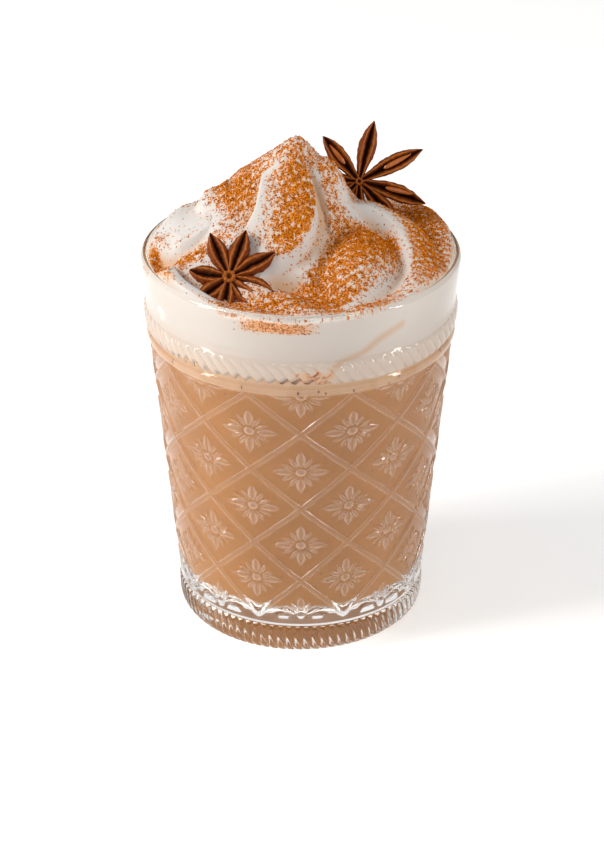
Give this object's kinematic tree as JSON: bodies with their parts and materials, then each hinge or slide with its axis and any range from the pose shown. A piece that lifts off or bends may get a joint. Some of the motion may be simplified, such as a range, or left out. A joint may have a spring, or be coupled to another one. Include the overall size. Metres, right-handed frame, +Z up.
{
  "type": "chai latte in a glass",
  "caption": "Chai latte in a tapered pressed-glass tumbler with a diamond lattice, heaped with whipped cream, dusted with cinnamon and topped with star anise.",
  "frame": {"origin": "centre of the glass's foot, on the table", "axes": "+Z up along the glass's axis, -Y towards the front, the side that the picture shows"},
  "size_m": [0.0878, 0.0878, 0.141],
  "materials": {
    "glass": "clear pressed glass",
    "latte": "smooth milky spiced tea",
    "cream": "soft whipped cream dusted with cinnamon",
    "anise": "dry, ribbed, dark brown seed pods"
  },
  "bodies": {
    "root": {"glass_tumbler": "glass", "latte": "latte", "whipped_cream": "cream", "star_anise_front": "anise", "star_anise_back": "anise"}
  },
  "joints": []
}
